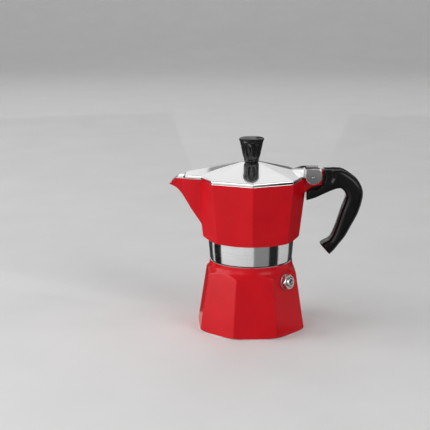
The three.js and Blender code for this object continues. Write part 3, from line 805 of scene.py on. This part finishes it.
def vessel_inside(angles):
    """The column's socket, the floor with its rounded edge, and the wall up to the rim."""
    line = [(COLUMN_HOLE, FLOOR_UNDERSIDE), (COLUMN_HOLE, 83.7), (6, 84), (7.9, 84), (8.4, 83.5),
            (9.6, 80.2), (10.6, FLOOR_TOP)]
    corner = vessel_corner(FLOOR_TOP) - VESSEL_WALL
    line += [(octagon(angles, corner - less, 3), FLOOR_TOP + rise)
             for less, rise in ((6, 0), (3, 0.15), (1.6, 0.9), (0.7, 2.1), (0.2, 4))]
    line += [(octagon(angles, vessel_corner(z) - VESSEL_WALL, 2), z) for z in (90, 100, 110, 120)]
    return rows_of(RAW, line) + [(octagon(angles, VESSEL_RIM_CORNER - VESSEL_WALL + more, 1.5), z, TURN)
                   for more, z in ((0, 126.7), (0.15, 127), (0.4, VESSEL_RIM))]


def vessel_outside(angles):
    """The rim, the painted octagon down to its coned foot, and the bare turned skirt."""
    rim = ((0.35, VESSEL_RIM), (0.1, 127))
    rows = [(octagon(angles, VESSEL_RIM_CORNER - less), z, TURN) for less, z in rim]
    flats = (126.75, 126.3, 122, 114, 106, 98, 90, 84)
    rows += [(octagon(angles, vessel_corner(z)), z, PAINT) for z in flats]
    for z in np.concatenate([[81, 79.5, 78.6], np.linspace(78.2, 75.9, 26), [75.78]]):
        cone = along([(75.6, 35.2), (76.9, 40.1), (82.2, 60)], z)
        rows.append((soft_min(octagon(angles, vessel_corner(z)), cone, 0.6), z, PAINT))
    skirt = [(35.5, 75.68), (35.25, 75.55), (35.2, 75.2), (35.1, 72), (34.5, 65), (34.02, 59.6),
             (33.9, 59.25), (33.6, 59.1), (32.7, 59.1), (32.45, 59.3), (32.4, 59.8)]
    gasket_seat = [(32.4, 70.4), (31.4, 70.4), (31.4, FLOOR_UNDERSIDE)]
    return rows + rows_of(TURN, skirt + gasket_seat)


def behind_pin(behind, up):
    """A point this far behind the hinge pin, square to the handle's front face, and this far up it."""
    across = math.cos(HANDLE_LEAN) * behind + math.sin(HANDLE_LEAN) * up
    height = -math.sin(HANDLE_LEAN) * behind + math.cos(HANDLE_LEAN) * up
    return (PIN_X + across, PIN_Z + height)


def lug_outline():
    back = 7.95
    wall = 0.75
    outline = [(42, VESSEL_RIM)]
    outline += arc((PIN_X, PIN_Z), LUG_RADIUS, 186, 30, 40)
    outline += [behind_pin(back - wall, 3.4), behind_pin(back - wall, 6.7), behind_pin(back, 6.7)]
    outline += [behind_pin(back, -5.3), (49.2, 119.4), (46.5, 117), (44, 114.5), (42, 114.5)]
    return outline


def vessel_piece():
    angles = polygon_angles(0)
    body = shell("vessel_casting", vessel_inside(angles) + vessel_outside(angles), angles)
    body = join(body, spout_outside())
    body = cut(body, spout_channel())
    lug = extruded("lug", lug_outline(), -LUG_HALF, LUG_HALF, 0.35, PAINT)
    tongue = extruded("tongue", box(56, 122.6, 67, 129.6), -3, 3, 0.3, RAW)
    body = join(body, join(lug, tongue))
    body = cut(body, drill(PIN_HOLE, -20, 20, (PIN_X, 0, PIN_Z), True, index=RAW))
    body = cut(body, drill(SCREW_HOLE, 110, 128.6, (HANDLE_SCREW_X, 0, 0), index=RAW))
    whole = merged("vessel_casting", [body, thread(FEMALE_THREAD_RADIUS)])
    place_piece(whole, "top", "upper_vessel")


def column_piece():
    tube = turned("coffee_riser", [
        (0, 115.5), (2.6, 115), (3, 110), (3.7, 86), (4, 76.9), (5.3, 76.9), (5.3, 84.3), (7.4, 84.3),
        (7.2, 85.3), (5, 86.2), (4.2, 108), (4.8, 111), (4.6, 114.6), (3.2, 116.5), (0, 117),
    ], 0.5, 72, 4, RAW)
    window = extruded("window", box(-8, 110.6, 8, 113.4), -1.5, 1.5, 0, RAW)
    place_piece(cut(tube, window), "top", "coffee_column")


# ---- lid
def roof_height(x, y):
    """The roof over the spout: a ridge from the knob to the nose, which falls to its eaves on both sides."""
    nose_x, nose_z = BEAK_RIDGE_END
    ridge = LID_APEX - 0.1735 * (-x - LID_APEX_CORNER + 0.6)
    nose = nose_z - (nose_x - x) * (nose_z - 129.9) / (nose_x - BEAK_END_X)
    top = soft_min(ridge, nose, 0.5)
    half = along([(BEAK_END_X, BEAK_END_HALF), (nose_x, BEAK_RIDGE_HALF), (SPOUT_ROOT_X, SPOUT_ROOT_HALF),
                  (-12, 2.9)], x)
    eaves = along([(SPOUT_ROOT_X, LID_RIM_TOP), (-12, LID_RIM_TOP + 6)], x)
    share = soft_max(y / half, -y / half, 0.08)
    return np.where(x < -10, top - (top - eaves) * share, -100)


def lid_height(x, y, skin):
    """Height of the top, or of its underside a skin's thickness below."""
    reach = None
    for normal in np.arange(8) * EIGHTH + EIGHTH / 2:
        across = x * math.cos(normal) + y * math.sin(normal)
        reach = across if reach is None else soft_max(reach, across, 0.5)
    corner = reach / math.cos(EIGHTH / 2)
    slope = (LID_APEX - LID_RIM_TOP) / (LID_CORNER - LID_APEX_CORNER)
    cone = LID_APEX - slope * np.maximum(corner - LID_APEX_CORNER, 0)
    return soft_max(cone, roof_height(x, y), 0.35) - skin


def beak_radius(angles, less):
    """Distance from the axis to the beak's outline in plan, or 0 where there is no beak."""
    cosines, sines = -np.cos(angles), np.abs(np.sin(angles))
    middle = (-BEAK_RIDGE_END[0], BEAK_RIDGE_HALF)
    sides = [((-SPOUT_ROOT_X, SPOUT_ROOT_HALF), middle), (middle, (-BEAK_END_X, BEAK_END_HALF))]
    reach = np.where(cosines > 0.5, (-BEAK_END_X - less) / np.maximum(cosines, 0.5), 0)
    for (x0, y0), (x1, y1) in sides:
        normal = np.array([y0 - y1, x1 - x0]) / math.hypot(x1 - x0, y1 - y0)
        facing = cosines * normal[0] + sines * normal[1]
        distance = normal[0] * x0 + normal[1] * y0 - less
        reach = np.minimum(reach, distance / np.maximum(facing, 1e-3))
    return np.where(cosines > math.cos(0.5), reach, 0)


def lid_outline(angles, less):
    return soft_max(octagon(angles, LID_CORNER - less * 1.3, 0.5), beak_radius(angles, less), 0.25)


def lid_shell():
    corners = polygon_angles(0, 8, 28, 6)
    reach = 0.3
    beak = np.linspace(math.pi - reach, math.pi + reach, 150)
    plain = corners[(corners < math.pi - reach) | (corners > math.pi + reach)]
    angles = np.sort(np.concatenate([plain, beak]))
    outer, inner = lid_outline(angles, 0), lid_outline(angles, LID_SKIN)
    cosines, sines = np.cos(angles), np.sin(angles)
    bore = SCREW_HOLE
    edge = 0.55

    def row(radius, skin, drop=0.0, index=BUFF):
        radii = np.broadcast_to(radius, angles.shape)
        return (radii, lid_height(radii * cosines, radii * sines, skin) - drop, index)

    rows = [row(bore, LID_SKIN, index=RAW), row(bore, 0)]
    shares = np.concatenate([[0.03, 0.08], np.linspace(0.115, 0.985, 54)])
    rows += [row(bore + (outer - bore - edge) * share, 0) for share in shares]
    for depth in (1, 0.72, 0.45, 0.22, 0.08, 0):
        inward = edge * depth
        drop = edge - math.sqrt(max(edge ** 2 - (edge - inward) ** 2, 0))
        rows.append(row(outer - inward, 0, drop))
    rows += [(outer - less, LID_FOOT + rise, BUFF) for less, rise in ((0, 0.25), (0.08, 0.06), (0.3, 0))]
    rows += [(inner + 0.15, LID_FOOT, RAW), (inner, LID_FOOT + 0.15, RAW)]
    rows += [row(bore + (inner - bore) * share, LID_SKIN, index=RAW) for share in np.linspace(1, 0.06, 36)]
    return shell("lid_casting", rows, angles)


def ear_outline():
    centre = (50.7, 128.7)
    radius = 6.8
    top = [(55.6, EAR_TOP), (centre[0] - radius, EAR_TOP)]
    return top + arc(centre, radius, 180, 375, 48) + [(56.6, 133.6)]


def ear(side):
    low = -EAR_OUTER if side < 0 else EAR_INNER
    obj = extruded("ear", ear_outline(), low, low + EAR_OUTER - EAR_INNER, 0.45, BUFF)
    for polygon in obj.data.polygons:
        if abs(polygon.normal.y) > 0.99 and polygon.area > 1e-5:
            polygon.material_index = GRIT
    return obj


def lid_tab():
    """The block that joins the ears to the lid, with a wedge that runs up the lid's slope."""
    half = EAR_OUTER - 0.1
    low = LID_FOOT + 0.05
    sections = [[(x, y, z) for y, z in box(side, low, -side, top)]
                for x, side, top in ((45.6, half, EAR_TOP), (42.4, half, EAR_TOP), (32, 0.5, 133.3))]
    tab = softened(loft("tab", sections, BUFF), 0.45)
    for polygon in tab.data.polygons:
        if abs(polygon.normal.y) > 0.5:
            polygon.material_index = RAW
    return tab


def lid_piece():
    body = lid_shell()
    body = join(body, lid_tab())
    for side in (-1, 1):
        body = join(body, ear(side))
    sweep = drill(LUG_RADIUS + 0.4, -EAR_INNER, EAR_INNER, (PIN_X, 0, PIN_Z), True, 96, BUFF)
    body = cut(body, sweep)
    body = cut(body, drill(PIN_HOLE, -20, 20, (PIN_X, 0, PIN_Z), True, index=RAW))
    place_piece(body, "cover", "lid")


# ---- knob
KNOB_FOOT = 140.2
# Lines of (height, radius), then the dome as a profile of (radius, height).
KNOB_BODY = [(KNOB_FOOT, 6), (141.4, 5.8), (143, 6.5), (145, 7.2), (156.5, 9.6), (158, 9.6)]
KNOB_WAIST = [
    (KNOB_FOOT, 5.85), (140.9, 5.7), (141.2, 6), (141.8, 6.3), (142.4, 6), (142.7, 5.7), (158, 5.7),
]
KNOB_CAP = [(KNOB_FOOT, 0), (156, 0), (156.2, 9.1), (157, 9.7), (157.7, 10.15), (158.6, 10.3)]
KNOB_DOME = [(10.3, 158.6), (10.25, 159.0), (9.6, 159.45), (8.2, 159.7), (4, 159.93), (0, 160)]
KNOB_RADIUS = 10.3
FLUTE_DEPTH = 0.75


def knob_radius(z, angles):
    """Eight flats, each with an oval flute, between a beaded waist and the round cap."""
    local = np.mod(angles, EIGHTH) / EIGHTH
    across = np.abs(local - 0.5) * 2
    width = along([(143.5, 0), (146, 0.62), (153, 0.9), (155.4, 0.55)], z)
    ends = smooth_step((z - 143.5) / 2) * smooth_step((155.6 - z) / 1.2)
    flute = smooth_step((width - across) / 0.45) * FLUTE_DEPTH * ends
    radius = octagon(angles, along(KNOB_BODY, z), 0.35) - flute
    radius = soft_max(radius, along(KNOB_WAIST, z), 0.3)
    radius = soft_max(radius, along(KNOB_CAP, z), 0.4)
    return np.minimum(radius, KNOB_RADIUS)


def knob_piece():
    angles = polygon_angles(0, 8, 14, 5, math.radians(5))
    heights = [np.linspace(140.35, 144, 16), np.linspace(144.6, 155.4, 26), np.linspace(155.7, 158.6, 14)]
    line = [(0, KNOB_FOOT), (5.2, KNOB_FOOT)]
    line += [(knob_radius(z, angles), z) for z in np.concatenate(heights)]
    line += rounded(KNOB_DOME, 1.2, 4)[1:]
    body = shell("knob_moulding", rows_of(PLASTIC, line), angles)
    body = cut(body, drill(SCREW_HOLE, 130, 153, index=PLASTIC))
    place_piece(body, "cover", "lid_knob")
    screw = slotted_screw("knob_bolt", 136.6, 151.5, 152.4)
    place_piece(screw, "cover", "knob_screw")


def slotted_screw(name, foot, shank_top, tip):
    """A screw with its slotted head downwards, on the axis."""
    head, shank = 3.2, 1.5
    profile = [(0, foot), (head - 0.6, foot), (head, foot + 0.6), (head, foot + 1.6), (shank, foot + 1.6)]
    screw = turned(name, profile + [(shank, shank_top), (0, tip)], 0.2, 48, 3, BOLT)
    low, high = foot - 0.6, foot + 0.7
    slot = extruded("slot", box(-5, low, 5, high), -0.35, 0.35, 0, BOLT)
    return cut(screw, slot)


# ---- handle
HANDLE_FRONT = 8.25
HANDLE_BACK = [
    (73.4, 133.9), (78.4, 131.8), (87, 125.2), (91, 118), (91.4, 110.5), (88.1, 98.3), (82.4, 86.8),
    (77.6, 77.9), (73.9, 73), (68.8, 66.2),
]
HANDLE_TIP = (64.9, 62.4)
HANDLE_INSIDE = [
    (57.4, 70.9), (61, 73.2), (65.6, 76.2), (69.7, 85.5), (74.2, 99.7), (76.8, 106.8), (77.8, 111.7),
    (76.4, 115.4), (72.8, 118.4), (66.4, 117.2), (58.8, 114), (52.7, 111.1), (45.2, 108.6),
]


def heading_from_pin(point):
    return math.degrees(math.atan2(point[1] - PIN_Z, point[0] - PIN_X))


def handle_outline():
    """The full-width part, anticlockwise: it stops at the round pocket that clears the ears."""
    rise = math.sqrt(EAR_POCKET ** 2 - HANDLE_FRONT ** 2)
    start = heading_from_pin(behind_pin(HANDLE_FRONT, rise))
    end = heading_from_pin((48.08, 117.83))
    pocket = arc((PIN_X, PIN_Z), EAR_POCKET, start, end, 36)
    back, inner = spline(HANDLE_BACK), spline(HANDLE_INSIDE)
    top, foot = behind_pin(HANDLE_FRONT, 7.5), [(45.2, 115.2), (46.7, 116.6)]
    clockwise = [top] + back + [HANDLE_TIP] + inner + foot + pocket[::-1]
    return rounded(clockwise[::-1], 0.9, 4, True)


def web_outline():
    """The middle of the handle's front, between the ears."""
    rear = arc((PIN_X, PIN_Z), EAR_POCKET + 2, -100, 36, 30)
    foot = [(46.9, 116.7), (49.4, 119), behind_pin(HANDLE_FRONT, -5.6)]
    clockwise = [behind_pin(HANDLE_FRONT, 7.3)] + rear[::-1] + foot
    return rounded(clockwise[::-1], 0.4, 3, True)


def web_edge(points):
    return np.full(len(points), 0.35)


def handle_dent(points):
    """The shallow oval scoop on each side, round the ears."""
    across = (points[:, 0] - 60.7) / 7.9
    up = (points[:, 1] - 129.0) / 8.6
    reach = np.sqrt(across ** 2 + up ** 2)
    return 1.7 * smooth_step((1 - reach) / 0.26)


def handle_edge(points):
    """The grip is rounder than the head, which is nearly square where it meets the hinge."""
    away = np.hypot(points[:, 0] - PIN_X, points[:, 1] - PIN_Z)
    return 1.3 + 2.9 * smooth_step((away - 14) / 14)


def handle_holes():
    """Room for the vessel's tongue and for the screw, whose head sits in the handle's underside."""
    slot = extruded("tongue slot", box(50, 122.3, 67.3, 129.9), -3.3, 3.3, 0, PLASTIC)
    slot = join(slot, drill(SCREW_HOLE, 100, 125, (HANDLE_SCREW_X, 0, 0), index=PLASTIC))
    return join(slot, drill(SCREW_HEAD_HOLE, 100, 118.5, (HANDLE_SCREW_X, 0, 0), index=PLASTIC))


def handle_piece():
    outline = even(handle_outline(), 0.7)
    grip = plate("handle_moulding", outline, HANDLE_HALF, handle_edge, handle_dent, 0.65, PLASTIC)
    web = plate("web", even(web_outline(), 0.6), LUG_HALF, web_edge, index=PLASTIC)
    whole = merged("handle_moulding", [cut(obj, handle_holes()) for obj in (grip, web)])
    place_piece(whole, "top", "handle")
    screw = moved(slotted_screw("handle_bolt", 116.6, 127.6, 128.2), (HANDLE_SCREW_X, 0, 0))
    place_piece(screw, "top", "handle_screw")


def hinge_pin_piece():
    half = 9.1
    pin = turned("hinge_rivet", box(0, -half, PIN_RADIUS, half), 0.3, 40, 4, BOLT)
    place_piece(moved(pin, (PIN_X, 0, PIN_Z), True), "top", "hinge_pin")


# ---- funnel, gasket and filter plate
def perforated(name, radius, foot, top, hole, rings):
    """A disc pierced by rings of holes, each given as (radius, count)."""
    centres = [centre for r, n in rings for centre in arc((0, 0), r, 0, 360, n + 1)[:-1]]
    loops = [arc((0, 0), radius, 0, 360, 97)[:-1]]
    loops += [arc(centre, hole, 0, 360, 13)[:-1] for centre in centres]
    edges, first = [], 0
    for loop in loops:
        edges += [(first + j, first + (j + 1) % len(loop)) for j in range(len(loop))]
        first += len(loop)
    flat, triangles = triangulated([p for loop in loops for p in loop], edges)
    kept = []
    for triangle in triangles:
        away = np.array(centres) - flat[list(triangle)].mean(axis=0)
        if np.min(np.linalg.norm(away, axis=1)) > hole * 0.95:
            kept.append(triangle)
    points = [(x, y, z) for z in (foot, top) for x, y in flat]
    return new_mesh(name, points, slab_faces(kept, len(flat)), RAW)


def funnel_and_gasket():
    bowl = [(30.2, 71.3), (30.2, 72.1), (24.8, 72.1), (24.8, 53.5), (4.9, 47.6), (4.9, 43.5), (5.7, 43.5),
            (5.7, 46.9), (25.6, 52.9), (25.6, 71.3)]
    basket = turned("funnel_bowl", bowl, 0.35, 120, 3, RAW)
    place_piece(basket, "funnel", "funnel_basket")
    stem = turned("funnel_stem", box(3.8, 8, 4.6, 47.2), 0.2, 64, 3, RAW)
    place_piece(stem, "funnel", "funnel_tube")
    seal = turned("gasket_ring", box(25.6, 72.4, 31, 75.4), 0.7, 144, 5, SEAL)
    place_piece(seal, "seal", "gasket")


def pierced_discs():
    sieve = perforated("funnel_sieve", 24.5, 54.5, 55.1, 0.9, [(3.5 + 4 * i, 6 + 6 * i) for i in range(5)])
    place_piece(sieve, "funnel", "funnel_strainer")
    disc = perforated("filter_disc", 29, 75.7, 76.3, 0.6, [(3 + 3 * i, 6 + 6 * i) for i in range(7)])
    place_piece(disc, "filter", "filter_plate")


def dress_cad_nodes():
    """The small inner pieces stay as the CAD made them, with better materials."""
    dressed = {"valve_seal": DARK_RUBBER, "valve_retainer": STEEL}
    for node, finish in dressed.items():
        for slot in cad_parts[node].material_slots:
            slot.material = finish


# ---- studio
def camera():
    """The photograph's viewing angle: 12.7 degrees above level, from a metre away."""
    target = Vector((-0.02996, 0, 0.09474))
    elevation = math.radians(12.74)
    data = bpy.data.cameras.new("camera")
    data.lens = 100.95
    obj = linked("camera", data)
    obj.location = target + Vector((0, -math.cos(elevation), math.sin(elevation)))
    obj.rotation_euler = (math.pi / 2 - elevation, 0, 0)
    bpy.context.scene.camera = obj


def softbox(name, place, size, energy):
    """A soft panel of light that faces the pot."""
    data = bpy.data.lights.new(name, "AREA")
    data.shape = "RECTANGLE"
    data.size, data.size_y = size
    data.energy = energy
    obj = linked(name, data)
    obj.location = place
    obj.rotation_euler = (Vector((0, 0, 0.08)) - Vector(place)).to_track_quat("-Z", "Y").to_euler()


def lights():
    softbox("left", (-1.6, -0.25, 0.5), (1.6, 1.4), 25)
    softbox("front right", (1.0, -1.2, 0.7), (0.9, 1.1), 9)
    softbox("front left", (-0.9, -1.4, 0.45), (0.8, 0.8), 5)
    softbox("behind", (0, 1.3, 1.25), (2.0, 0.8), 2.8)
    softbox("behind left", (-0.56, 1.8, 0.85), (1.05, 0.7), 1.1)
    softbox("behind right", (0.56, 1.8, 0.85), (1.05, 0.7), 0.8)


def surroundings():
    """A dim room, lighter to the left and the right than in front and behind."""
    world = bpy.data.worlds.new("studio")
    bpy.context.scene.world = world
    world.use_nodes = True
    tree = world.node_tree
    place = added(tree, "TexCoord").outputs["Generated"]
    split = added(tree, "SeparateXYZ", Vector=place)
    share = wire(tree, added(tree, "MapRange", Value=split.outputs["X"]), {"From Min": -1})
    stops = [(0.0, 0.9), (0.3, 0.8), (0.5, 0.55), (0.7, 0.6), (1.0, 0.8)]
    colour = ramp(tree, share.outputs["Result"], stops)
    wire(tree, tree.nodes["Background"], {"Color": colour, "Strength": 0.5})


def floor():
    """A pale sweep of paper, in metres: flat under the pot and curving up far behind it."""
    front, bend, radius, top, side = -6.0, 2.0, 1.2, 5, 8
    curve = np.linspace(0, math.pi / 2, 20)
    line = [(bend + radius * math.sin(a), radius - radius * math.cos(a)) for a in curve]
    line = [(front, 0)] + line + [(bend + radius, top)]
    points = [(x / MM, y / MM, z / MM) for x in (-side, side) for y, z in line]
    count = len(line)
    faces = [(j, j + 1, count + j + 1, count + j) for j in range(count - 1)]
    obj = new_mesh("floor", points, faces)
    obj.data.materials.append(PAPER)
    obj.data.shade_smooth()


def hidden_card(name, points, faces, grey):
    """A card that only reflections see."""
    card = new_mesh(name, points, faces)
    made, _, shader = material(name, specular=0.0)
    shader.inputs["Base Color"].default_value = (grey, grey, grey, 1)
    card.data.materials.append(made)
    card.visible_camera = card.visible_diffuse = card.visible_shadow = False


# Each card's name, the sector it covers, in degrees from the camera's side towards +X, and its grey.
FLOOR_CARDS = [
    ("card_left", -116, -86, 0.01), ("card_far_left", -175, -126, 0.05), ("card_front", 6, 46, 0.3),
    ("card_right", 46, 74, 0.02), ("card_far_right", 118, 170, 0.05),
]


def floor_cards():
    """Cards on the floor, which the polished skirt shows as upright bands."""
    near, far, height = 60, 1300, 0.4
    for name, start, end, grey in FLOOR_CARDS:
        sweep = np.radians(np.linspace(start, end, 12) - 90)
        points = [(r * math.cos(a), r * math.sin(a), height) for r in (near, far) for a in sweep]
        count = len(sweep)
        faces = [(j, count + j, count + j + 1, j + 1) for j in range(count - 1)]
        hidden_card(name, points, faces, grey)


def back_card():
    """A dark card behind the pot and to the right, which the top of the handle shows."""
    left, right, low, high, behind = 50, 700, 60, 430, 1000
    corners = [(x, behind, z) for x, z in box(left, low, right, high)]
    hidden_card("card_back", corners, [(0, 1, 2, 3)], 0.03)


def main():
    bpy.context.scene.view_settings.view_transform = "Standard"
    camera()
    lights()
    surroundings()
    floor()
    floor_cards()
    back_card()
    boiler_piece()
    valve_pieces()
    spring_piece()
    vessel_piece()
    column_piece()
    lid_piece()
    knob_piece()
    handle_piece()
    hinge_pin_piece()
    funnel_and_gasket()
    pierced_discs()
    dress_cad_nodes()


main()
